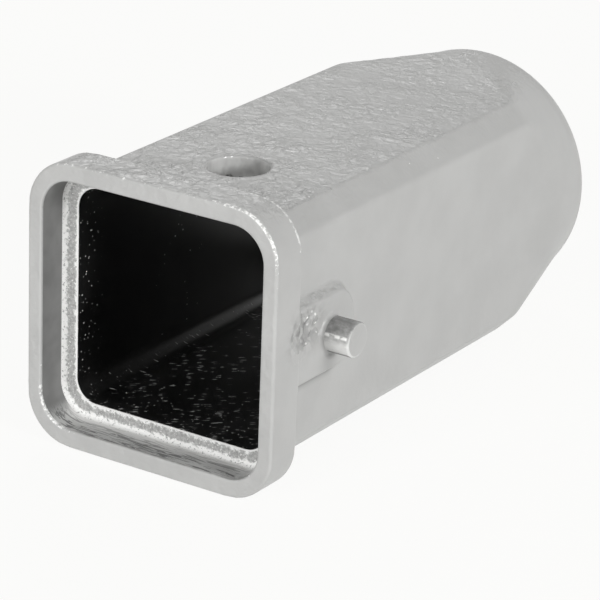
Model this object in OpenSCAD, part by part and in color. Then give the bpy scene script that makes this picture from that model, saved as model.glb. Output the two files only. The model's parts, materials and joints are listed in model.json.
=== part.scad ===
// Hood of a small rectangular power connector, cast in one piece: a square mating flange with a
// mouth, a drafted pocket for the contact insert, two side pads with locking pegs, a screw hole
// for the insert, and a rear end that goes from square to round for the cable entry.
// X runs across the hood, Y from the mating face back to the cable entry, Z up.
// The origin is the centre of the mating face. All sizes are in millimetres.

/* [Flange] */
// Width of the flange, in the direction of the pegs
flange_width = 27.6; // [26.8:0.1:31]
// Height of the flange
flange_height = 28.1; // [26.8:0.1:32]
// Thickness of the flange along the hood
flange_thickness = 4.2; // [4:0.1:6]
// Radius of the flange's four corners
flange_corner = 4.9; // [3.9:0.1:7]
// Rounding of the flange's front and rear edges
flange_edge = 0.5; // [0.1:0.05:0.8]

/* [Mouth] */
// Side of the square mouth that takes the rim of the opposite housing
mouth_side = 24.5; // [23:0.1:24.9]
// Depth of the mouth, down to the shoulder
mouth_depth = 3.6; // [2:0.1:3.7]
// Radius of the mouth's four corners
mouth_corner = 3.3; // [2.4:0.1:5]
// Chamfer of the mouth's front edge
mouth_edge = 0.2; // [0.05:0.05:0.4]

/* [Body] */
// Side of the square body
body_side = 24.2; // [23.6:0.1:25.2]
// Chamfer of the body's four long edges
body_chamfer = 2; // [0.8:0.1:2.4]
// Distance from the mating face to the end of the square body
body_length = 47; // [42:0.5:80]

/* [Insert pocket] */
// Side of the square pocket at the shoulder
pocket_side = 21.4; // [20.5:0.1:22]
// Radius of the pocket's corners at the shoulder
pocket_corner = 2.2; // [1.6:0.1:4]
// Draft of the pocket's walls, in degrees
pocket_draft = 1; // [0.5:0.1:1.5]
// Distance from the mating face to the pocket's floor
pocket_floor = 45; // [30:0.5:46]

/* [Cable end] */
// Diameter of the round end
end_diameter = 25.3; // [23:0.1:27]
// Length of the change from square to round
taper_length = 10.6; // [6:0.1:20]
// Length of the round end behind the taper
neck_length = 1.6; // [1.3:0.1:6]
// Rounding of the round end's outer edge
end_edge = 1.2; // [0.2:0.1:1.2]
// Core diameter of the threaded cable entry
entry_diameter = 18.4; // [12:0.1:19]
// Size of the lead-in chamfer of the cable entry
entry_chamfer = 0.8; // [0.2:0.1:1]

/* [Insert screw hole] */
// Diameter of the screw hole in the top wall
screw_hole_diameter = 6; // [3:0.1:8]
// Distance from the mating face to the middle of the screw hole
screw_hole_from_face = 13.9; // [9:0.1:30]
// Rounding of the screw hole's outer edge
screw_hole_edge = 0.5; // [0.1:0.05:0.8]
// Depth of the screw hole from the body's top to the end of its boss in the pocket
screw_hole_depth = 2.6; // [2.2:0.1:4]
// Wall of the boss around the screw hole
screw_boss_wall = 1.5; // [0.8:0.1:3]

/* [Side pads] */
// Height of the pad's face
pad_width = 7.2; // [6:0.1:10]
// How far the pad's face stands out from the body
pad_rise = 1.2; // [0.6:0.1:1.6]
// Distance from the peg's middle to the rear edge of the pad's face
pad_past_peg = 3.9; // [3:0.1:8]
// Radius of the rear corners of the pad's face
pad_corner = 2.6; // [0.5:0.1:2.8]
// Draft of the pad's sides, in degrees
pad_draft = 30; // [5:1:40]

/* [Locking pegs] */
// Diameter of the pegs
peg_diameter = 3.4; // [2.5:0.1:4.2]
// How far each peg stands out from its pad
peg_reach = 3; // [2:0.1:6]
// Distance from the mating face to the pegs' axis
peg_from_face = 9.9; // [8.8:0.1:14]
// Rounding of the peg's outer end
peg_edge = 0.25; // [0.1:0.05:0.5]
// Fillet where the peg meets its pad
peg_fillet = 0.4; // [0.1:0.05:0.6]

/* [Hidden] */
$fn = 96;

// Facets of the square-to-round taper, which is a loft and not a true revolve
loft_facets = 64;
// Thickness of the two sections that the taper runs between
section = 0.02;
// How far a piece reaches into the one it grows from
bury = 0.5;
// How far a cut runs past the face that it opens
clear = 1;

half_body = body_side / 2;
taper_end = body_length + taper_length;
hood_length = taper_end + neck_length;
pocket_depth = pocket_floor - mouth_depth;
pocket_lean = pocket_depth * tan(pocket_draft);
pad_height = pad_rise + bury;
pad_lean = pad_height * tan(pad_draft);
pad_front = flange_thickness - pad_corner - bury;
pad_rear = peg_from_face + pad_past_peg;

// A square with round corners, in the plane
module rounded_square(side, corner) {
    square([side - 2 * corner, side], center = true);
    square([side, side - 2 * corner], center = true);
    for (x = [-1, 1], y = [-1, 1])
        translate([x, y] * (side / 2 - corner)) circle(corner);
}

// A square with its corners cut off, in the plane
module chamfered_square(side, chamfer) {
    half = side / 2;
    flat = half - chamfer;
    polygon([
        [half, -flat],
        [half, flat],
        [flat, half],
        [-flat, half],
        [-half, flat],
        [-half, -flat],
        [-flat, -half],
        [flat, -half]
    ]);
}

// Stands a plane shape up in XZ and runs it along the hood between two distances from the face
module along_hood(from, to) {
    translate([0, to, 0]) rotate([90, 0, 0]) linear_extrude(to - from) children();
}

// Half of the section of a disc, for a revolve: its upper rim is rounded
module rounded_rim(radius, height, edge) {
    square([radius - edge, height]);
    square([radius, height - edge]);
    translate([radius - edge, height - edge]) circle(edge);
}

// Section at the edge of a plate, out to the given reach and up to the given height:
// both corners at the edge are rounded
module rounded_edge(reach, height, edge) {
    square([reach - edge, height]);
    translate([0, edge]) square([reach, height - 2 * edge]);
    for (y = [edge, height - edge])
        translate([reach - edge, y]) circle(edge);
}

// Section at the edge of a plug, which loses the lean over its height
module drafted_edge(reach, height, lean) {
    polygon([[0, 0], [reach, 0], [reach - lean, height], [0, height]]);
}

// A plate with round corners, standing on Z = 0, whose edge has the section that is given as the child:
// a block between the middles of the corners, a bar along each side, and a turned button in each corner
module edged_plate(size_x, size_y, corner, height) {
    reach_x = size_x / 2 - corner;
    reach_y = size_y / 2 - corner;
    translate([-reach_x, -reach_y, 0]) cube([2 * reach_x, 2 * reach_y, height]);
    for (turn = [0, 180]) rotate([0, 0, turn]) {
        translate([reach_x, reach_y, 0]) rotate([90, 0, 0]) linear_extrude(2 * reach_y) children();
        translate([-reach_x, reach_y, 0]) rotate([90, 0, 90]) linear_extrude(2 * reach_x) children();
    }
    for (x = [-reach_x, reach_x], y = [-reach_y, reach_y])
        translate([x, y, 0]) rotate_extrude() children();
}

// The square body runs into the flange, and lofts to a circle at the cable end
module body_form() {
    along_hood(flange_thickness / 2, body_length) chamfered_square(body_side, body_chamfer);
    hull() {
        along_hood(body_length, body_length + section)
            chamfered_square(body_side, body_chamfer);
        along_hood(taper_end - section, taper_end)
            circle(d = end_diameter, $fn = loft_facets);
    }
    translate([0, taper_end, 0]) rotate([-90, 0, 0])
        rotate_extrude() rounded_rim(end_diameter / 2, neck_length, end_edge);
}

module flange_form() {
    translate([0, flange_thickness, 0]) rotate([90, 0, 0])
        edged_plate(flange_width, flange_height, flange_corner, flange_thickness)
            rounded_edge(flange_corner, flange_thickness, flange_edge);
}

// The pad grows out of the body's side and the flange's rear face
module side_pad() {
    foot_y = pad_rear - pad_front + 2 * pad_lean;
    foot_z = pad_width + 2 * pad_lean;
    translate([half_body - bury, (pad_front + pad_rear) / 2, 0]) rotate([0, 90, 0])
        edged_plate(foot_z, foot_y, pad_corner + pad_lean, pad_height)
            drafted_edge(pad_corner + pad_lean, pad_height, pad_lean);
}

// The peg, with a rounded end and a fillet at its root
module locking_peg() {
    radius = peg_diameter / 2;
    translate([half_body, peg_from_face, 0]) rotate([0, 90, 0])
        rotate_extrude() {
            rounded_rim(radius, pad_rise + peg_reach, peg_edge);
            translate([0, pad_rise]) difference() {
                square([radius + peg_fillet, peg_fillet]);
                translate([radius + peg_fillet, peg_fillet]) circle(peg_fillet);
            }
        }
}

// The mouth, with a small chamfer at the front rim that runs out past the mating face
module mouth_cut() {
    flare = 2 * mouth_edge;
    flared_side = mouth_side + 2 * flare;
    along_hood(-clear, mouth_depth) rounded_square(mouth_side, mouth_corner);
    translate([0, -mouth_edge, 0]) rotate([-90, 0, 0])
        edged_plate(flared_side, flared_side, mouth_corner + flare, flare)
            drafted_edge(mouth_corner + flare, flare, flare);
}

// The pocket, which leaves the screw hole's boss standing on its ceiling
module pocket_cut() {
    difference() {
        translate([0, mouth_depth, 0]) rotate([-90, 0, 0])
            edged_plate(pocket_side, pocket_side, pocket_corner, pocket_depth)
                drafted_edge(pocket_corner, pocket_depth, pocket_lean);
        translate([0, screw_hole_from_face, half_body - screw_hole_depth])
            cylinder(h = screw_hole_depth, d = screw_hole_diameter + 2 * screw_boss_wall);
    }
}

// The cable entry at its thread's core diameter, with a lead-in chamfer
module entry_cut() {
    along_hood(pocket_floor - clear, hood_length + clear) circle(d = entry_diameter);
    translate([0, hood_length - entry_chamfer, 0]) rotate([-90, 0, 0])
        cylinder(
            h = entry_chamfer + clear,
            d1 = entry_diameter,
            d2 = entry_diameter + 2 * (entry_chamfer + clear)
        );
}

// The screw hole, with a rounded outer edge
module screw_hole_cut() {
    radius = screw_hole_diameter / 2;
    translate([0, screw_hole_from_face, 0]) {
        cylinder(h = half_body + clear, d = screw_hole_diameter);
        translate([0, 0, half_body - screw_hole_edge])
            rotate_extrude() difference() {
                square([radius + screw_hole_edge, screw_hole_edge + clear]);
                translate([radius + screw_hole_edge, 0]) circle(screw_hole_edge);
            }
    }
}

module hood() {
    color([0.74, 0.74, 0.73]) difference() {
        union() {
            flange_form();
            body_form();
            for (side = [0, 1]) mirror([side, 0, 0]) {
                side_pad();
                locking_peg();
            }
        }
        mouth_cut();
        pocket_cut();
        entry_cut();
        screw_hole_cut();
    }
}

hood();
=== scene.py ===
"""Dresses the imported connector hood: one die casting with a grey powder coat, on a pale floor."""

import json
import math
from collections import namedtuple

import bpy
import numpy as np
from mathutils import Matrix, Vector, noise


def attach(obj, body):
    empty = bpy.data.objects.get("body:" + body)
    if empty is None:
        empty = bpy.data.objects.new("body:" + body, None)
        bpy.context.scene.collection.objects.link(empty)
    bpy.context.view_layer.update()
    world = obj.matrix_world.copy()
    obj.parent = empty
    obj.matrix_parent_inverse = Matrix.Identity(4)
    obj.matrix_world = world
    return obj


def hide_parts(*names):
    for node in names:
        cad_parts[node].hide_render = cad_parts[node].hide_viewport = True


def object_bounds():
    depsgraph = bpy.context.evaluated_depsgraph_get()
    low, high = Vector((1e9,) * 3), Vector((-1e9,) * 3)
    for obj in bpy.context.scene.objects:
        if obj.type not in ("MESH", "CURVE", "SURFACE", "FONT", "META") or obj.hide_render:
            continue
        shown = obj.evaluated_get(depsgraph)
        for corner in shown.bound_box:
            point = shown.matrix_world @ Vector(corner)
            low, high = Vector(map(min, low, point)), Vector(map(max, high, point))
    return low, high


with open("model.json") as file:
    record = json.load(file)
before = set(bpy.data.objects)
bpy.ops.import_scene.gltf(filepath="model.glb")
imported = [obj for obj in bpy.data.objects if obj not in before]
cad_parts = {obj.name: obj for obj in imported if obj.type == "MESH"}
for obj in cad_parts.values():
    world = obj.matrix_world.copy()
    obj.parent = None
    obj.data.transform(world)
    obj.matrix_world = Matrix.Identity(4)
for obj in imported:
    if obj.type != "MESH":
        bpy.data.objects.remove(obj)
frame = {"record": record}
cad_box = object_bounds()

# Sizes from the frame, in millimetres
MM = 0.001
mounts = {mount["name"]: mount for mount in frame["record"]["mounts"]}
peg_mount = mounts["locking_peg_right"]
hole_mount = mounts["screw_hole"]
peg_tip, hood_length, flange_half_height = cad_box[1] / MM
peg_y = peg_mount["pos_m"][1] / MM
peg_radius = peg_mount["dims"]["r_mm"]
hole_y = hole_mount["pos_m"][1] / MM
hole_radius = hole_mount["dims"]["r_mm"]
hole_end = hole_mount["pos_m"][2] / MM - hole_mount["dims"]["length_mm"] / 2
entry_radius = mounts["cable_entry"]["dims"]["r_mm"]

# Sizes of the casting's forms, in millimetres
flange_half_width = 13.8
flange_thickness = 4.2
flange_corner = 4.9
flange_edge = 0.5
flange_front_edge = 0.3
mouth_half = 12.25
mouth_corner = 3.3
mouth_depth = 3.6
mouth_edge = 0.2
mouth_fillet = 0.4
body_half = 12.1
body_chamfer = 2.0
body_edge = 0.7
body_length = 47.0
body_foot = 0.3
pocket_half = 10.7
pocket_corner = 2.2
pocket_draft = math.radians(1)
pocket_floor = 45.0
pocket_fillet = 0.2
lip_edge = 0.1
taper_length = 10.6
taper_bend = 0.9
end_radius = 12.65
end_edge = 1.2
entry_chamfer = 0.8
entry_edge = 0.3
thread_pitch = 1.5
thread_depth = 0.8
thread_length = 9.0
hole_edge = 0.28
boss_wall = 1.5
boss_edge = 0.15
pad_half = 3.6
pad_rise = 1.2
pad_past_peg = 3.9
pad_corner = 2.6
pad_draft = math.radians(30)
pad_softness = 0.09
peg_edge = 0.25
peg_fillet = 0.4

# Shares of the pitch in a metric thread: the flat left between two grooves, and one flank
thread_land = 1 / 4
thread_flank = 5 / 16

# Places that follow from these sizes
boss_radius = hole_radius + boss_wall
pad_face = body_half + pad_rise
pad_rear = peg_y + pad_past_peg
pocket_lean = math.tan(pocket_draft)
taper_end = body_length + taper_length
thread_end = hood_length - thread_length - thread_pitch

# Paint that has gathered between flange and peg: the middle of the patch, its reach along the hood and
# upright, how much of it is at full thickness, and its lumps
patch_behind_flange = 1.2
patch_above_peg = 1.5
patch_length = 2.6
patch_height = 1.8
patch_fullness = 1.4
lump_height = 0.45
lump_crowding = 1.3
lump_layer = 4.0

# Painted shade along the lower foot of the pad, and a painted shadow under the peg
shade_from_foot = 0.12
shade_width = 0.38
shade_fade = 1.5
peg_shadow_length = 1.2
peg_shadow_limit = 0.45

# Rows of the mesh along the hood. A row at the support distance beside an edge keeps the edge's
# rounding from shading the flat next to it.
support = 0.1
fine_step = 0.2
bend_step = 0.3
front_step = 0.8
taper_step = 1.2
wide_step = 2.6
bend_reach = 1.2
row_gap = 1.0
rows_per_turn = 6

# Columns of the mesh across one side, out from its middle
middle_step = 0.32
slope_step = 0.17
slope_start = pad_half - 0.8
slope_stop = pad_half + 1.25
flat_start = pad_half + 1.6
flat_stop = body_half - 3.4
corner_start = body_half - 3.0
flat_columns = 4
corner_columns = 14

# Room that a peg and the screw hole's boss get in the blocks that are cut out of the mesh for them,
# where the rings between such a block and its round form lie, and the rings of the plain round walls
peg_margin = 0.85
hole_margin = 0.8
shaft_rings = 8
wall_rings = 8
PEG_RING_SHARES = (0.4, 0.75)
HOLE_RING_SHARES = (0.35, 0.7)
PEG_FACE_SHARES = (0.8, 0.5, 0.2)

# Sections across the hood: half width, half height, cut of the corners before they are rounded, and
# the corners' radius. A section grows evenly all round along GROWTH.
GROWTH = np.array([1.0, 1.0, 0.0, 1.0])
mouth_section = np.array([mouth_half, mouth_half, 0.0, mouth_corner])
flange_section = np.array([flange_half_width, flange_half_height, 0.0, flange_corner])
body_cut = body_chamfer - (2 - math.sqrt(2)) * body_edge
body_section = np.array([body_half, body_half, body_cut, body_edge])
end_section = np.array([end_radius, end_radius, 0.0, end_radius])
entry_section = np.array([entry_radius, entry_radius, 0.0, entry_radius])


def grown(section, amount):
    """A section moved out evenly all round, or in where the amount is negative."""
    return section + amount * GROWTH


def arc(radius, start, stop, steps):
    """Places on an arc between two angles in degrees, seen from its middle."""
    angles = np.radians(np.linspace(start, stop, steps + 1))
    return zip(radius * np.cos(angles), radius * np.sin(angles))


class Profile:
    """The wall of the casting, walked once round: a station is a section and its place along the hood."""

    def __init__(self, section, y):
        self.stations = [(section, y)]
        self.zones = []
        self.marks = {}

    def mark(self, name):
        """Remembers the next station by a name."""
        self.marks[name] = len(self.stations)

    def add(self, zone, section, y):
        """Adds one station. The faces up to it belong to the zone."""
        self.stations.append((section, y))
        self.zones.append(zone)

    def line(self, zone, section, y, steps=1):
        """Runs straight to a station, in equal steps."""
        from_section, from_y = self.stations[-1]
        for share in np.linspace(0, 1, steps + 1)[1:]:
            self.add(zone, from_section + (section - from_section) * share, from_y + (y - from_y) * share)

    def turn(self, zone, middle, y, radius, start, stop, steps):
        """Rounds an edge between two angles in degrees. The middle of the rounding is given as a section
        and its place along the hood."""
        for outward, onward in arc(radius, start, stop, steps):
            self.add(zone, grown(middle, outward), y + onward)


def soft_positive(value, softness):
    """The value where it is positive and 0 where it is not, with a round bend between."""
    bend = (value + softness) ** 2 / (4 * softness)
    return np.where(value > softness, value, np.where(value < -softness, 0, bend))


def outer_section(y):
    """Section of the body, which turns from square to round in the taper."""
    turned = soft_positive(y - body_length, taper_bend) - soft_positive(y - taper_end, taper_bend)
    return body_section + (end_section - body_section) * turned / taper_length


def pocket_section(y):
    """Section of the drafted pocket."""
    lip = np.array([pocket_half, pocket_half, 0.0, pocket_corner])
    return grown(lip, -(y - mouth_depth) * pocket_lean)


# Rows along the body: close ones at the pads, pegs, screw hole and the taper's bends, wide ones between
fine_rows = np.arange(flange_thickness + body_foot + support, hole_y + boss_radius + row_gap, fine_step)
wide_rows = np.arange(fine_rows[-1] + row_gap, body_length - bend_reach - bend_step, wide_step)
bend_rows = np.arange(body_length - bend_reach, body_length + bend_reach + bend_step / 2, bend_step)
taper_rows = np.arange(body_length + bend_reach + row_gap, taper_end - bend_reach - bend_step, taper_step)
end_rows = np.arange(taper_end - bend_reach, hood_length - end_edge, bend_step)

# Rows along the inside, from the cable entry forward
thread_rows = np.arange(hood_length, thread_end, -thread_pitch / rows_per_turn)[1:]
hole_block = [y for y in fine_rows if abs(y - hole_y) < boss_radius + hole_margin]
pocket_rear_rows = np.arange(pocket_floor - row_gap, hole_block[-1] + row_gap / 2, -wide_step)
pocket_front_rows = np.arange(hole_block[0] - row_gap / 2, mouth_depth + row_gap / 2, -front_step)


def casting_profile():
    """The whole wall, from the mouth's front edge over the outside and back through the inside."""
    front_middle = grown(flange_section, -flange_front_edge)
    rear_middle = grown(flange_section, -flange_edge)
    rear_start = flange_thickness - flange_edge
    foot_end = flange_thickness + body_foot
    entry_start = pocket_floor + entry_edge
    floor_section = pocket_section(pocket_floor)
    floor_middle = grown(floor_section, -pocket_fillet)
    lip_section = pocket_section(mouth_depth)
    lip_start = mouth_depth + lip_edge
    shoulder_middle = grown(mouth_section, -mouth_fillet)

    path = Profile(mouth_section, mouth_edge + support)
    path.turn("mouth_edge", grown(mouth_section, mouth_edge), mouth_edge, mouth_edge, 190, 270, steps=4)
    path.line("paint", grown(mouth_section, mouth_edge + support), 0)
    path.line("paint", grown(front_middle, -support), 0, steps=3)
    path.turn("paint", front_middle, flange_front_edge, flange_front_edge, -90, -75, steps=1)
    # The front edge's rounding: rubbed flecks and a painted highlight
    path.turn("worn_lit_edge", front_middle, flange_front_edge, flange_front_edge, -60, -15, steps=3)
    path.line("paint", flange_section, flange_front_edge)
    path.line("paint", flange_section, flange_front_edge + support)
    path.line("paint", flange_section, rear_start - support, steps=5)
    path.mark("rear_edge")
    path.turn("rear_edge", rear_middle, rear_start, flange_edge, 0, 39, steps=3)
    path.turn("paint", rear_middle, rear_start, flange_edge, 51, 90, steps=3)
    path.line("paint", grown(body_section, body_foot + support), flange_thickness, steps=3)
    path.turn("paint", grown(body_section, body_foot), foot_end, body_foot, -90, -180, steps=5)
    path.mark("body")
    for y in [*fine_rows, *wide_rows, *bend_rows, *taper_rows, *end_rows]:
        path.add("paint", outer_section(y), y)
    path.turn("paint", grown(end_section, -end_edge), hood_length - end_edge, end_edge, 10, 90, steps=8)
    path.line("paint", grown(entry_section, entry_chamfer + support), hood_length, steps=3)
    for y in thread_rows:
        path.add("thread", entry_section, y)
    path.line("thread", entry_section, entry_start, steps=4)
    path.turn("pocket", grown(entry_section, entry_edge), entry_start, entry_edge, 205, 270, steps=3)
    path.line("pocket", floor_middle, pocket_floor, steps=4)
    path.turn("pocket", floor_middle, pocket_floor - pocket_fillet, pocket_fillet, 60, 0, steps=2)
    for y in pocket_rear_rows:
        path.add("pocket", pocket_section(y), y)
    path.mark("hole_ceiling")
    for y in [*hole_block[::-1], *pocket_front_rows]:
        path.add("pocket", pocket_section(y), y)
    path.add("pocket", lip_section, lip_start)
    path.turn("shoulder", grown(lip_section, lip_edge), lip_start, lip_edge, 210, 270, steps=2)
    path.line("shoulder", shoulder_middle, mouth_depth, steps=6)
    path.turn("shoulder", shoulder_middle, mouth_depth - mouth_fillet, mouth_fillet, 75, 0, steps=4)
    path.line("mouth_wall", mouth_section, mouth_edge + 1.5 * support, steps=5)
    return path


def ring_angles():
    """Polar angles of the points of a ring, for an eighth of it and for the whole. They lie close
    together beside the pads' slopes and in the corners."""
    middle = np.arange(0, slope_start, middle_step)
    slope = np.arange(slope_start, slope_stop, slope_step)
    flat = np.linspace(flat_start, flat_stop, flat_columns)
    corner = np.linspace(corner_start, body_half, corner_columns)
    eighth = np.arctan(np.concatenate([middle, slope, flat, corner]) / body_half)
    quarter = np.concatenate([-eighth[-2:0:-1], eighth])
    return eighth, np.concatenate([quarter + turn * math.pi / 2 for turn in range(4)])


def section_reach(angles, section):
    """Distance from the axis to the edge of a section, along each polar angle."""
    half_x, half_z, cut, corner = section
    above_zero = 1e-9
    x = np.maximum(np.abs(np.cos(angles)), above_zero)
    z = np.maximum(np.abs(np.sin(angles)), above_zero)
    core_x = half_x - corner
    core_z = half_z - corner

    def to_corner(middle_x, middle_z):
        toward = middle_x * x + middle_z * z
        return toward + np.sqrt(np.maximum(corner**2 - middle_x**2 - middle_z**2 + toward**2, 0))

    chamfer = (core_x + core_z - cut + corner * math.sqrt(2)) / (x + z)
    along = chamfer * (z - x) - (core_z - core_x)
    reach = np.where(along < -cut, to_corner(core_x, core_z - cut), chamfer)
    reach = np.where(along > cut, to_corner(core_x - cut, core_z), reach)
    reach = np.where(half_x / x * z <= core_z - cut, half_x / x, reach)
    return np.where(half_z / z * x <= core_x - cut, half_z / z, reach)


def soft_low(a, b, softness):
    """The lower of two values, rounded where they cross."""
    share = np.clip(0.5 + 0.5 * (b - a) / softness, 0, 1)
    return b + (a - b) * share - softness * share * (1 - share)


def past_pad(y, z):
    """How far a place on the body's side lies outside the outline of the pad's face."""
    over_y = y - (pad_rear - pad_corner)
    over_z = np.abs(z) - (pad_half - pad_corner)
    beyond = np.hypot(np.maximum(over_y, 0), np.maximum(over_z, 0))
    return beyond + np.minimum(np.maximum(over_y, over_z), 0) - pad_corner


def pad_height(y, z):
    """How far the side pad stands out from the body at a place on its side."""
    slope = pad_rise - past_pad(y, z) / math.tan(pad_draft)
    return -soft_low(-soft_low(slope, pad_rise, pad_softness), 0, pad_softness)


def thick_paint(y, z):
    """1 between flange and peg, where paint has gathered on the pad, falling to 0 around it."""
    behind = (y - flange_thickness - patch_behind_flange) / patch_length
    above = (z - patch_above_peg) / patch_height
    return np.minimum(patch_fullness * np.exp(-(behind**2) - above**2), 1)


def painted_shade(y, z):
    """1 along the pad's lower foot as painted shade, and about half of that under the peg as a painted
    shadow.
    """
    from_foot = past_pad(y, z) - pad_rise * math.tan(pad_draft) - shade_from_foot
    lower = np.clip(-z / shade_fade, 0, 1) * (y > flange_thickness)
    foot = np.exp(-((from_foot / shade_width) ** 2)) * lower
    # Painted shadow under the peg, darker the further below it, up to a limit
    below_peg = np.clip(-z - peg_radius, 0, peg_shadow_limit) * (z > -pad_half)
    peg_shadow = np.exp(-(((y - peg_y) / peg_shadow_length) ** 2)) * below_peg
    return np.maximum(foot, peg_shadow)


def paint_lumps(y, z):
    """Lumps and hollows of gathered paint, in millimetres."""
    places = [Vector((a * lump_crowding, b, lump_layer)) for a, b in zip(y.ravel(), z.ravel())]
    wave = np.array([noise.noise(place) for place in places]).reshape(y.shape)
    return lump_height * thick_paint(y, z) * wave


def thread_radius(angles, y):
    """Radius of the internal thread at a distance along the hood, with its lead-in and its run-out."""
    phase = (y / thread_pitch + angles / (2 * math.pi)) % 1
    groove = np.clip(((1 - thread_land) / 2 - np.abs(phase - 0.5)) / thread_flank, 0, 1)
    run_out = np.clip((y - thread_end) / thread_pitch, 0, 1)
    lead_in = entry_chamfer - (hood_length - y)
    return entry_radius + np.maximum(thread_depth * groove * run_out, lead_in)


def ring_points(path, angles):
    """Every point of the grid: one row for each station, one column for each angle."""
    rows = []
    for (section, y), zone in zip(path.stations, ["paint", *path.zones]):
        reach = thread_radius(angles, y) if zone == "thread" else section_reach(angles, section)
        ring = [reach * np.cos(angles), np.full_like(angles, y), reach * np.sin(angles)]
        rows.append(np.stack(ring, 1))
    return np.array(rows)


def shoulder_shares(path):
    """How far across the shoulder each station lies: 0 at the pocket's lip, 1 at the mouth's wall."""
    half_widths = np.array([section[0] for section, _ in path.stations])
    return (half_widths - pocket_half) / (mouth_half - pocket_half)


def raise_pads(points, first, last):
    """Pushes the body's two sides out to the pads, and squeezes the flange's rear edge to meet them."""
    x, y, z = points[first:last].transpose(2, 0, 1)
    share = np.clip((flange_half_width - np.abs(x)) / (flange_half_width - body_half), 0, 1)
    height = pad_height(y, z)
    lumps = paint_lumps(y, z) * np.clip(height / pad_rise, 0, 1)
    on_side = np.abs(x) > np.abs(z)
    points[first:last, :, 0] += np.where(on_side, np.sign(x) * share * (height + lumps), 0)


class Casting:
    """Collects the mesh: the grid of rings with blocks cut out of it, and the patches that fill them."""

    def __init__(self, points, zones):
        self.row_count, self.column_count = points.shape[:2]
        self.points = [tuple(point) for point in points.reshape(-1, 3)]
        self.zones = zones
        self.cut = set()
        self.faces = []
        self.face_zones = []

    def index(self, row, column):
        """Index of a point of the grid, which closes on itself both ways."""
        return row % self.row_count * self.column_count + column % self.column_count

    def block(self, rows, columns):
        """Cuts a block of the grid out, and gives the places round it in order."""
        (top, bottom), (left, right) = rows, columns
        self.cut |= {(row, column) for row in range(top, bottom) for column in range(left, right)}
        corners = [(top, column) for column in range(left, right)]
        corners += [(row, right) for row in range(top, bottom)]
        corners += [(bottom, column) for column in range(right, left, -1)]
        corners += [(row, left) for row in range(bottom, top, -1)]
        return corners

    def loop(self, points):
        """Adds points, and gives their indices."""
        start = len(self.points)
        self.points += [tuple(point) for point in points]
        return list(range(start, start + len(points)))

    def bridge(self, outer, inner, zone):
        """Joins two loops of as many points by a band of faces."""
        for k in range(len(outer)):
            after = (k + 1) % len(outer)
            self.faces.append((outer[k], outer[after], inner[after], inner[k]))
            self.face_zones.append(zone)

    def run(self, outer, rings, zone):
        """Bridges a loop to one ring of points after another, and gives the last one's loop."""
        for points in rings:
            inner = self.loop(points)
            self.bridge(outer, inner, zone)
            outer = inner
        return outer

    def cap(self, loop, zone):
        """Closes a loop by a fan about its middle."""
        middle = np.mean([self.points[k] for k in loop], axis=0)
        (centre,) = self.loop([middle])
        for k in range(len(loop)):
            self.faces.append((loop[k], loop[(k + 1) % len(loop)], centre))
            self.face_zones.append(zone)

    def close(self):
        """Adds the faces of the grid that no block took away."""
        for row in range(self.row_count):
            zone = self.zones[row]
            for column in range(self.column_count):
                if (row, column) in self.cut:
                    continue
                ring = [(row, column), (row, column + 1), (row + 1, column + 1), (row + 1, column)]
                self.faces.append(tuple(self.index(*corner) for corner in ring))
                self.face_zones.append(zone)


def add_peg(casting, side, rows, columns):
    """A locking peg on its pad: the block's edge runs in to the root, up the fillet and over the end."""
    outer = [casting.index(*corner) for corner in casting.block(rows, columns)]
    start = np.array([casting.points[k] for k in outer])
    angle = np.arctan2(start[:, 2], start[:, 1] - peg_y)
    away = np.hypot(start[:, 2], start[:, 1] - peg_y)
    root = peg_radius + peg_fillet
    rim = peg_radius - peg_edge
    shaft_start = pad_face + peg_fillet
    shaft_end = peg_tip - peg_edge

    def ring(x, radius):
        x = np.broadcast_to(x, angle.shape)
        return np.stack([x, peg_y + radius * np.cos(angle), radius * np.sin(angle)], 1)

    def on_pad(share):
        x = start[:, 0] + (side * pad_face - start[:, 0]) * share
        return ring(x, away + (root - away) * share)

    foot = [on_pad(share) for share in PEG_RING_SHARES]
    foot += [ring(side * (shaft_start + v), root + u) for u, v in arc(peg_fillet, 270, 180, 6)]
    shaft = [ring(side * x, peg_radius) for x in np.linspace(shaft_start, shaft_end, shaft_rings)[1:]]
    shaft += [ring(side * (shaft_end + v), rim + u) for u, v in arc(peg_edge, 15, 75, 4)]
    face = [ring(side * peg_tip, rim)]
    face += [ring(side * peg_tip, peg_radius * share) for share in PEG_FACE_SHARES]
    for zone, rings in (("paint", foot), ("peg", shaft), ("paint", face)):
        outer = casting.run(outer, rings, zone)
    casting.cap(outer, "paint")


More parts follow.
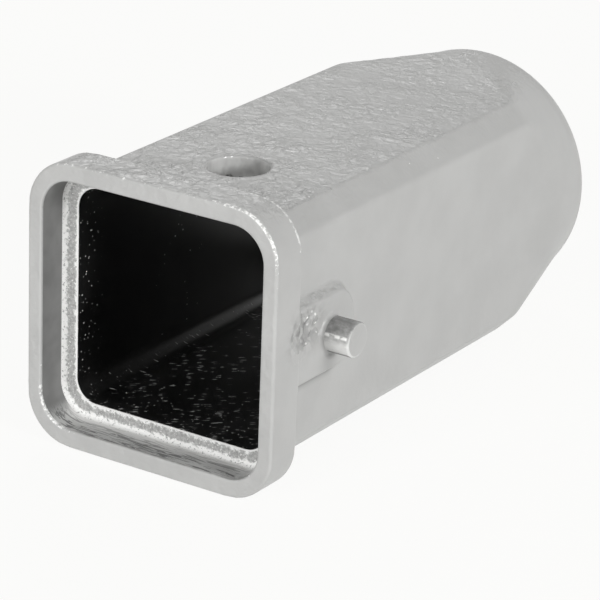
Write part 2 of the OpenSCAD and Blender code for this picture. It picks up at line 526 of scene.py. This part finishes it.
def add_screw_hole(casting, outer_rows, columns, inner_first):
    """The screw hole: over its rounded edge, down its wall, round its boss and out along the pocket's
    ceiling, where the block that is cut out begins at the given row."""
    corners = casting.block(outer_rows, columns)
    top, bottom = outer_rows
    inner_last = inner_first + bottom - top
    casting.block((inner_first, inner_last), columns)
    outer = [casting.index(*corner) for corner in corners]
    below = [casting.index(inner_last - (row - top), column) for row, column in corners]
    start = np.array([casting.points[k] for k in outer])
    stop = np.array([casting.points[k] for k in below])
    angle = np.arctan2(start[:, 0], start[:, 1] - hole_y)
    away = np.hypot(start[:, 0], start[:, 1] - hole_y)
    rim = hole_radius + hole_edge
    wall_start = body_half - hole_edge
    wall_end = hole_end + boss_edge
    inner_edge = hole_radius + boss_edge
    outer_edge = boss_radius - boss_edge
    foot = boss_radius + boss_edge
    ceiling = pocket_half - (hole_y + foot * np.cos(angle) - mouth_depth) * pocket_lean

    def ring(radius, z):
        z = np.broadcast_to(z, angle.shape)
        return np.stack([radius * np.sin(angle), hole_y + radius * np.cos(angle), z], 1)

    painted = [ring(away + (rim - away) * share, start[:, 2]) for share in HOLE_RING_SHARES]
    painted += [ring(rim + u, wall_start + v) for u, v in arc(hole_edge, 90, 150, 4)]
    wall = [ring(hole_radius, z) for z in np.linspace(wall_start, wall_end, wall_rings)]
    boss = [ring(inner_edge + u, wall_end + v) for u, v in arc(boss_edge, 200, 270, 3)]
    boss += [ring(outer_edge + u, wall_end + v) for u, v in arc(boss_edge, 270, 360, 3)]
    boss += [ring(boss_radius, ceiling - boss_edge), ring(foot, ceiling)]
    last = boss[-1]
    boss += [last + (stop - last) * share for share in HOLE_RING_SHARES]
    for zone, rings in (("paint", painted), ("hole_wall", wall), ("pocket", boss)):
        outer = casting.run(outer, rings, zone)
    casting.bridge(outer, below, "pocket")


def nearest(values, target):
    """Index of the value that lies nearest to a target."""
    return int(np.argmin(np.abs(np.asarray(values) - target)))


def add_attribute(mesh, name, values):
    """Gives each point of the mesh a value that a material can read. Points past the list get 0."""
    padded = np.zeros(len(mesh.vertices))
    padded[: len(values)] = values
    mesh.attributes.new(name, "FLOAT", "POINT").data.foreach_set("value", padded)


def build_casting(materials):
    """The casting's mesh object, with a material for each zone of its surface."""
    eighth, angles = ring_angles()
    path = casting_profile()
    points = ring_points(path, angles)
    body_first = path.marks["body"]
    raise_pads(points, path.marks["rear_edge"], body_first + len(fine_rows))

    casting = Casting(points, [*path.zones, "mouth_wall"])
    quarter = len(angles) // 4
    offsets = body_half * np.tan(eighth)

    def rows(low, high):
        return tuple(body_first + nearest(fine_rows, y) for y in (low, high))

    def columns(turn, reach):
        middle = quarter // 2 - 1 + turn * quarter
        count = nearest(offsets, reach)
        return middle - count, middle + count

    peg_reach = peg_radius + peg_margin
    for side, turn in ((1, 0), (-1, 2)):
        add_peg(casting, side, rows(peg_y - peg_reach, peg_y + peg_reach), columns(turn, peg_reach))
    hole_rows = rows(hole_block[0], hole_block[-1])
    hole_columns = columns(1, (boss_radius + hole_margin) * body_half / hole_end)
    add_screw_hole(casting, hole_rows, hole_columns, path.marks["hole_ceiling"])
    casting.close()

    mesh = bpy.data.meshes.new("hood_casting")
    mesh.from_pydata([Vector(point) * MM for point in casting.points], [], casting.faces)
    slots = {zone: slot for slot, zone in enumerate(materials)}
    mesh.polygons.foreach_set("material_index", [slots[zone] for zone in casting.face_zones])
    add_attribute(mesh, "shoulder_share", np.repeat(shoulder_shares(path), len(angles)))
    x, y, z = np.array(casting.points).T
    tolerance = 0.1
    on_side = np.abs(x) > body_half - tolerance
    add_attribute(mesh, "thick_paint", thick_paint(y, z) * on_side)
    # Painted shade along the pad's foot and painted shadow under the peg, for the coat's material
    add_attribute(mesh, "painted_shade", painted_shade(y, z) * on_side)
    mesh.shade_smooth()
    for material in materials.values():
        mesh.materials.append(material)
    piece = bpy.data.objects.new("hood_casting", mesh)
    bpy.context.scene.collection.objects.link(piece)
    return piece


# Directions of faces
UP = (0.0, 0.0, 1.0)
FORWARD = (0.0, -1.0, 0.0)

# The range that holds most values of a noise, and the share of a dot's radius that is solid
NOISE_LOW = 0.3
NOISE_HIGH = 0.7
DOT_CORE = 0.6

# Sockets of a mix node that blends colours
MIX_SHARE = 0
MIX_LOW = 6
MIX_HIGH = 7
MIX_RESULT = 2


class Surface:
    """A material whose nodes are added from the texture inwards. Positions are in millimetres."""

    def __init__(self, name):
        self.material = bpy.data.materials.new(name)
        self.material.use_nodes = True
        self.tree = self.material.node_tree
        self.shader = self.tree.nodes["Principled BSDF"]
        in_metres = self.node("ShaderNodeTexCoord").outputs["Object"]
        self.place = self.vector("MULTIPLY", in_metres, (1 / MM,) * 3)

    def plug(self, socket, value):
        """Links another node's output to an input, or sets the input to a plain value."""
        if isinstance(value, bpy.types.NodeSocket):
            self.tree.links.new(value, socket)
        else:
            socket.default_value = value

    def node(self, kind, inputs=None, **settings):
        """A node with settings, and with values or links on its inputs."""
        made = self.tree.nodes.new(kind)
        for name, value in settings.items():
            setattr(made, name, value)
        for name, value in (inputs or {}).items():
            self.plug(made.inputs[name], value)
        return made

    def vector(self, operation, a, b):
        """One step of reckoning with vectors."""
        return self.node("ShaderNodeVectorMath", {0: a, 1: b}, operation=operation).outputs[0]

    def dot(self, a, b):
        """How far one vector reaches along another."""
        return self.node("ShaderNodeVectorMath", {0: a, 1: b}, operation="DOT_PRODUCT").outputs["Value"]

    def math(self, operation, a, b=0.0):
        """One step of reckoning with numbers."""
        return self.node("ShaderNodeMath", {0: a, 1: b}, operation=operation).outputs[0]

    def times(self, a, b):
        """One number times another."""
        return self.math("MULTIPLY", a, b)

    def stretched(self, x, y, z):
        """The place with each direction scaled."""
        return self.vector("MULTIPLY", self.place, (x, y, z))

    def along(self):
        """Distance along the hood."""
        return self.node("ShaderNodeSeparateXYZ", {"Vector": self.place}).outputs["Y"]

    def attribute(self, name):
        """A value that the mesh carries."""
        return self.node("ShaderNodeAttribute", attribute_name=name).outputs["Fac"]

    def noise(self, place, scale, detail=2.0, roughness=0.5, distortion=0.0):
        """A cloudy texture. The scale is in clouds for each millimetre."""
        inputs = {
            "Vector": place,
            "Scale": scale,
            "Detail": detail,
            "Roughness": roughness,
            "Distortion": distortion,
        }
        return self.node("ShaderNodeTexNoise", inputs).outputs[0]

    def between(self, value, low, high, to_low=0.0, to_high=1.0):
        """Maps a stretch of a value smoothly to another."""
        inputs = {"Value": value, "From Min": low, "From Max": high, "To Min": to_low, "To Max": to_high}
        return self.node("ShaderNodeMapRange", inputs, interpolation_type="SMOOTHSTEP").outputs[0]

    def spread(self, texture, to_low=0.0, to_high=1.0):
        """Maps the usual range of a noise to another."""
        return self.between(texture, NOISE_LOW, NOISE_HIGH, to_low, to_high)

    def blend(self, share, low, high):
        """Mixes two colours by a share."""
        inputs = {MIX_SHARE: share, MIX_LOW: low, MIX_HIGH: high}
        return self.node("ShaderNodeMix", inputs, data_type="RGBA").outputs[MIX_RESULT]

    def dots(self, place, scale, size, kept):
        """Small marks at random places: 1 inside a mark. Only the given share of them is kept."""
        cells = self.node("ShaderNodeTexVoronoi", {"Vector": place, "Scale": scale})
        inside = self.between(cells.outputs["Distance"], size, size * DOT_CORE)
        chance = self.node("ShaderNodeSeparateColor", {"Color": cells.outputs["Color"]}).outputs[0]
        return self.times(inside, self.math("LESS_THAN", chance, kept))

    def facing(self, direction, low, high):
        """1 on faces turned to a direction, 0 on faces turned away from it."""
        normal = self.node("ShaderNodeNewGeometry").outputs["Normal"]
        return self.between(self.dot(normal, direction), low, high)

    def upward(self, low, high):
        """1 on faces that look up, 0 on steep ones."""
        return self.facing(UP, low, high)

    def bump(self, height, depth, under=None):
        """A bump of a height from 0 to 1, as deep as given in millimetres, over another bump."""
        inputs = {"Height": height, "Strength": 1.0, "Distance": depth * MM}
        if under:
            inputs["Normal"] = under
        return self.node("ShaderNodeBump", inputs).outputs[0]

    def shade(self, **values):
        """Sets the shader's inputs, by value or by link. Underscores stand for spaces."""
        for name, value in values.items():
            self.plug(self.shader.inputs[name.replace("_", " ")], value)
        return self.material


def grey(level, warmth=0.985):
    """A grey a shade warmer than neutral, as linear light."""
    return (level, level, level * warmth, 1.0)


# How an edge is rubbed and lit: the direction of the corner where it is worst and a painted highlight
# runs, the distance that way at which both are full, and the limit above which a noise lays flecks bare
# on the parts that look up and catch the light
RubAndHighlight = namedtuple("RubAndHighlight", "direction reach flecks")

# The same limit at the corner and on the parts that hardly wear, and how far the corner's rubbing and
# painted highlight fade
corner_highlight_limit = 0.48
sound_limit = 0.7
highlight_fade = 3.0

# Along the hood, the ripples on top are full up to the first place and calm from the second
ripples_full = 10.0
ripples_calm = 50.0


def paint_material(name, rub_and_highlight=None):
    """Powder coat: rippled where it lies flat on top, smooth with a faint peel elsewhere. The coat can be
    rubbed bare, with a painted highlight along the edge near one corner."""
    s = Surface(name)
    thick = s.attribute("thick_paint")
    ripple = s.noise(s.stretched(0.95, 0.9, 1.0), scale=1.3, distortion=0.4)
    calm = s.between(s.along(), ripples_full, ripples_calm, to_low=1.0, to_high=0.6)
    on_top = s.times(s.upward(0.6, 0.95), calm)
    gusts = s.spread(s.noise(s.place, scale=0.3, detail=1.0), to_low=0.55, to_high=1.2)
    peel = s.noise(s.place, scale=0.9)
    lumps = s.noise(s.place, scale=0.9, detail=1.0, roughness=0.4, distortion=0.3)
    normal = s.bump(peel, depth=0.02)
    normal = s.bump(s.noise(s.place, scale=4.0), depth=0.004, under=normal)
    normal = s.bump(s.times(lumps, thick), depth=0.8, under=normal)
    normal = s.bump(s.times(peel, s.facing(FORWARD, 0.9, 1.0)), depth=0.12, under=normal)
    normal = s.bump(s.times(ripple, s.times(on_top, gusts)), depth=0.35, under=normal)

    clouds = s.noise(s.place, scale=0.18, detail=3.0)
    dust = s.dots(s.place, scale=0.55, size=0.05, kept=0.35)
    shaded_blotches = s.between(s.noise(s.place, scale=0.7, detail=1.0, distortion=0.6), 0.5, 0.54)
    glints = s.times(s.dots(s.place, scale=1.3, size=0.22, kept=0.6), s.between(thick, 0.3, 0.6))
    tone = s.blend(s.spread(clouds), grey(0.49), grey(0.53))
    tone = s.blend(dust, tone, grey(0.85))
    # Darker blotches on the gathered paint, as painted shade on the facets of its lumps
    tone = s.blend(s.times(shaded_blotches, thick), tone, grey(0.38))
    tone = s.blend(glints, tone, grey(0.95))
    # Painted shade along the pad's foot and painted shadow under the peg
    tone = s.blend(s.attribute("painted_shade"), tone, grey(0.26))
    rough = s.spread(clouds, to_low=0.32, to_high=0.42)
    rough = s.math("SUBTRACT", rough, s.times(thick, 0.15))
    rough = s.math("SUBTRACT", rough, s.times(on_top, 0.08))
    if rub_and_highlight:
        # Bare flecks of rubbed coat, and a painted highlight near the corner where the edge faces the
        # light
        toward_corner = s.dot(s.place, rub_and_highlight.direction)
        elsewhere = s.between(s.upward(0.1, 0.5), 0.0, 1.0, sound_limit, rub_and_highlight.flecks)
        limit = s.between(toward_corner, rub_and_highlight.reach - highlight_fade, rub_and_highlight.reach, elsewhere, corner_highlight_limit)
        chips = s.noise(s.place, scale=2.8, detail=4.0, roughness=0.7)
        bare = s.between(s.math("SUBTRACT", chips, limit), 0.0, 0.06)
        tone = s.blend(bare, tone, grey(0.92))
        rough = s.math("SUBTRACT", rough, s.times(bare, 0.15))
    return s.shade(Base_Color=tone, Roughness=rough, Normal=normal)


def hole_wall_material():
    """Thick, glossy paint run down the screw hole's wall, lighter than the outer coat as painted light,
    with painted shade below a ragged line near its foot.
    """
    s = Surface("gathered_paint_painted_light")
    foot_shade_top = hole_end + 1.0
    blur = 0.1
    runs = s.noise(s.stretched(1.0, 1.0, 0.45), scale=0.8, detail=1.0, roughness=0.4, distortion=0.4)
    ragged = s.math("ADD", s.dot(s.place, UP), s.noise(s.place, scale=1.5))
    # Painted shade in the depth of the hole, below a ragged line near the wall's foot
    painted_foot_shade = s.between(ragged, foot_shade_top + blur, foot_shade_top - blur)
    # Lighter than the outer coat, as painted light on the wall of the hole
    tone = s.blend(s.spread(runs), grey(0.55), grey(0.72))
    tone = s.blend(painted_foot_shade, tone, grey(0.05))
    return s.shade(Base_Color=tone, Roughness=0.16, Normal=s.bump(runs, depth=0.4))


def peg_material():
    """The peg's shaft: paint with painted shade on its upper side and underside, and a broken painted
    highlight between.
    """
    s = Surface("peg_paint_painted_light")
    above = (0.0, -0.3, 0.95)
    below = (0.0, -0.42, -0.91)
    between_them = (0.0, -0.95, 0.3)
    lumps = s.noise(s.stretched(0.8, 1.2, 1.2), scale=1.6, detail=3.0, roughness=0.6)
    painted_shade_above = s.math("ADD", s.facing(above, -1.0, 1.0), s.times(lumps, 0.5))
    painted_highlight = s.times(s.facing(between_them, 0.987, 0.998), s.between(lumps, 0.38, 0.5))
    # Painted shade darkens the upper side and the underside; a painted highlight runs along the middle
    tone = s.blend(s.between(painted_shade_above, 0.75, 1.4), grey(0.75), grey(0.2))
    tone = s.blend(s.facing(below, 0.9, 0.99), tone, grey(0.12))
    tone = s.blend(painted_highlight, tone, grey(1.0))
    return s.shade(Base_Color=tone, Roughness=0.22, Normal=s.bump(lumps, depth=0.12))


def mouth_wall_material():
    """Coat in the mouth, dark on its walls as painted shade and light on its floor as painted light, with
    drawn streaks near the front.
    """
    s = Surface("mouth_coat_painted_light")
    streaks = s.noise(s.stretched(0.3, 2.6, 1.0), scale=1.2, detail=3.0, roughness=0.6, distortion=1.2)
    streaks_full = mouth_depth * 0.4
    on_floor = s.upward(0.5, 0.95)
    near_front = s.between(s.along(), mouth_depth, streaks_full)
    lines = s.times(s.between(streaks, 0.5, 0.43), near_front)
    # The floor is lighter as painted light, less so near the front where the streaks lie
    drawn = s.blend(near_front, grey(0.9), grey(0.62))
    drawn = s.blend(lines, drawn, grey(0.2))
    # The walls are dark as painted shade
    plain = s.blend(s.spread(s.noise(s.place, scale=0.5)), grey(0.2), grey(0.24))
    tone = s.blend(on_floor, plain, drawn)
    normal = s.bump(s.times(streaks, on_floor), depth=0.03)
    return s.shade(Base_Color=tone, Roughness=0.4, Normal=normal)


def shoulder_material():
    """Bare, rough casting skin on the shoulder, spattered white along its two borders, with specks
    painted as glints and a painted highlight along the lip.
    """
    s = Surface("bare_casting_painted_glints")
    bare_share = 0.45
    lower_lip = -pocket_half
    share = s.attribute("shoulder_share")
    grain = s.noise(s.place, scale=4.0, detail=4.0, roughness=0.7)
    patches = s.noise(s.place, scale=1.5, detail=3.0, roughness=0.65)
    beside = s.times(s.math("ABSOLUTE", s.math("SUBTRACT", share, bare_share)), 2.0)
    below = s.between(s.dot(s.place, UP), lower_lip, lower_lip - 0.4, to_low=0.0, to_high=0.16)
    jagged = s.math("ADD", s.math("ADD", beside, below), s.times(patches, 1.6))
    spattered = s.times(s.between(jagged, 1.25, 1.6), s.between(grain, 0.34, 0.46))
    # Specks painted as glints on the rough bare metal
    glint_specks = s.between(s.noise(s.place, scale=5.0, roughness=0.6), 0.59, 0.67)
    # A painted highlight along the lip's rounded edge
    lip_highlight = s.between(share, 0.11, 0.07)
    tone = s.blend(s.between(grain, 0.35, 0.65), grey(0.34), grey(0.52))
    tone = s.blend(s.math("MAXIMUM", spattered, glint_specks), tone, grey(0.95))
    tone = s.blend(lip_highlight, tone, grey(0.95))
    return s.shade(Base_Color=tone, Roughness=0.4, Normal=s.bump(grain, depth=0.06))


def pocket_material():
    """The pocket, near black, with specks near the lip and clusters of short scratches on its floor, both
    painted as bright glints.
    """
    s = Surface("dark_pocket")
    scratch_turn = math.radians(-38)
    speckled_depth = 9.0
    turned = s.node("ShaderNodeVectorRotate", {"Vector": s.place, "Angle": scratch_turn}).outputs[0]
    drawn = s.vector("MULTIPLY", turned, (0.6, 3.6, 1.0))
    clusters = s.between(s.noise(s.place, scale=0.2, detail=1.0), 0.35, 0.6, to_low=0.15, to_high=0.8)
    scratches = s.times(s.dots(drawn, scale=1.2, size=0.33, kept=clusters), s.upward(0.5, 0.9))
    near_lip = s.between(s.along(), mouth_depth, mouth_depth + speckled_depth, to_low=0.75, to_high=0.04)
    glint_specks = s.dots(s.place, scale=2.3, size=0.22, kept=near_lip)
    faint = s.between(s.noise(s.place, scale=2.0, detail=1.0), 0.4, 0.6)
    smoke = s.between(s.noise(s.place, scale=0.15), 0.45, 0.65)
    skin = s.blend(smoke, grey(0.005), grey(0.014))
    mark = s.blend(faint, grey(0.06), grey(0.85))
    # The specks and the scratches are painted glints
    tone = s.blend(s.math("MAXIMUM", glint_specks, scratches), skin, mark)
    return s.shade(Base_Color=tone, Roughness=0.28, Specular_IOR_Level=1.0)


def thread_material():
    """Bare cut metal of the thread, with fine turning marks."""
    s = Surface("cut_thread")
    marks = s.noise(s.stretched(1.0, 6.0, 1.0), scale=2.0, detail=3.0)
    tone = s.blend(s.spread(marks), grey(0.42), grey(0.55))
    rough = s.spread(marks, to_low=0.3, to_high=0.42)
    return s.shade(Base_Color=tone, Metallic=0.9, Roughness=rough, Normal=s.bump(marks, depth=0.01))


# The material of each zone of the surface, in the order of the mesh's slots
MATERIALS = {
    "paint": paint_material("powder_coat"),
    # Rubbed edges, each with a painted highlight along the rounding near one corner
    "worn_lit_edge": paint_material("worn_coat_and_highlight", RubAndHighlight(direction=(1, 0, 1), reach=23.2, flecks=0.57)),
    "rear_edge": paint_material("worn_rear_and_highlight", RubAndHighlight(direction=(0.4, 0, 1), reach=16.8, flecks=0.66)),
    "mouth_edge": paint_material("worn_mouth_and_highlight", RubAndHighlight(direction=(-1, 0, -1), reach=22.2, flecks=0.68)),
    "hole_wall": hole_wall_material(),
    "mouth_wall": mouth_wall_material(),
    "shoulder": shoulder_material(),
    "pocket": pocket_material(),
    "thread": thread_material(),
    "peg": peg_material(),
}

casting = build_casting(MATERIALS)
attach(casting, "root")
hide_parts("hood")

# The studio, in metres: half of the floor's side, and the lamps' distance from the hood's middle
floor_reach = 2.0
lamp_distance = 0.6
floor_colour = (0.86, 0.86, 0.85, 1.0)
white = (1.0, 1.0, 0.99, 1.0)
# Share of the floor's white that is plain brightness to the eye. The rest takes the shadow.
glow_share = 0.93
world_level = 0.3

# The camera, fitted to the photograph: angles in degrees, places and lens in millimetres
view_azimuth = 32.7
view_elevation = 21.333
view_roll = 2.06
view_target = (1.479, 23.0, -3.714)
view_distance = 318.866
lens_length = 198.617
sensor_width = 36.0
nearest_seen = 10.0


def seen_share(tree):
    """1 for rays that a viewer sees, straight or in a reflection, and 0 for rays that carry light."""
    path = tree.nodes.new("ShaderNodeLightPath").outputs
    seen = path["Is Camera Ray"]
    for kind in ("Is Glossy Ray", "Is Transmission Ray"):
        either = tree.nodes.new("ShaderNodeMath")
        either.operation = "MAXIMUM"
        tree.links.new(seen, either.inputs[0])
        tree.links.new(path[kind], either.inputs[1])
        seen = either.outputs[0]
    return seen


def place_floor():
    """A pale floor under the flange's lower edge and the round end, bright to the eye but for the
    shadow."""
    front = Vector((0, flange_thickness - flange_edge, -flange_half_height)) * MM
    rear = Vector((0, hood_length - end_edge, -end_radius)) * MM
    along = (rear - front).normalized() * floor_reach
    across = Vector((floor_reach, 0, 0))
    corners = [front + along * y + across * x for x, y in ((-1, -1), (1, -1), (1, 1), (-1, 1))]
    mesh = bpy.data.meshes.new("floor")
    mesh.from_pydata(corners, [], [(0, 1, 2, 3)])
    floor = bpy.data.objects.new("floor", mesh)
    bpy.context.scene.collection.objects.link(floor)

    s = Surface("pale_floor")
    s.shade(Base_Color=floor_colour, Roughness=1.0, Specular_IOR_Level=0.0)
    glow = s.node("ShaderNodeEmission", {"Color": white, "Strength": 1.0})
    seen = s.times(seen_share(s.tree), glow_share)
    mixed = s.node("ShaderNodeMixShader", {0: seen, 1: s.shader.outputs[0], 2: glow.outputs[0]})
    s.tree.links.new(mixed.outputs[0], s.tree.nodes["Material Output"].inputs["Surface"])
    mesh.materials.append(s.material)


def light_world():
    """Even light from all round, and white behind everything."""
    world = bpy.data.worlds.new("studio")
    world.use_nodes = True
    bpy.context.scene.world = world
    tree = world.node_tree
    background = tree.nodes["Background"]
    strength = tree.nodes.new("ShaderNodeMapRange")
    strength.inputs["To Min"].default_value = world_level
    strength.inputs["To Max"].default_value = 1.0
    tree.links.new(seen_share(tree), strength.inputs["Value"])
    tree.links.new(strength.outputs[0], background.inputs["Strength"])
    background.inputs["Color"].default_value = white


def soft_lamp(name, direction, size, level):
    """A square lamp that looks at the hood's middle and lights a face turned to it at the given level."""
    lamp = bpy.data.lights.new(name, "AREA")
    lamp.size = size
    lamp.energy = level * math.pi**2 * lamp_distance**2
    holder = bpy.data.objects.new(name, lamp)
    bpy.context.scene.collection.objects.link(holder)
    toward = Vector(direction).normalized()
    middle = Vector((0, hood_length / 2, 0)) * MM
    holder.location = middle + toward * lamp_distance
    holder.rotation_mode = "QUATERNION"
    holder.rotation_quaternion = toward.to_track_quat("Z", "Y")


def place_camera():
    """A long lens at the photograph's angle."""
    azimuth = math.radians(view_azimuth)
    elevation = math.radians(view_elevation)
    roll = math.radians(view_roll)
    level = Vector((math.cos(azimuth), math.sin(azimuth), 0))
    flat = math.cos(elevation)
    back = Vector((math.sin(azimuth) * flat, -math.cos(azimuth) * flat, math.sin(elevation)))
    upright = back.cross(level)
    right = level * math.cos(roll) + upright * math.sin(roll)
    up = upright * math.cos(roll) - level * math.sin(roll)
    camera = bpy.data.cameras.new("camera")
    camera.sensor_width = sensor_width
    camera.lens = lens_length
    camera.clip_start = nearest_seen * MM
    holder = bpy.data.objects.new("camera", camera)
    bpy.context.scene.collection.objects.link(holder)
    turned = Matrix((right, up, back)).transposed().to_4x4()
    stand = Vector(view_target) * MM + back * view_distance * MM
    holder.matrix_world = Matrix.Translation(stand) @ turned
    bpy.context.scene.camera = holder


place_floor()
light_world()
soft_lamp("back_left", direction=(-0.5, 0.62, 0.6), size=0.15, level=0.1)
soft_lamp("right", direction=(1.0, -0.25, 0.3), size=0.1, level=0.52)
soft_lamp("front", direction=(-0.1, -1.0, 0.15), size=0.15, level=0.45)
place_camera()
bpy.context.scene.view_settings.view_transform = "Standard"
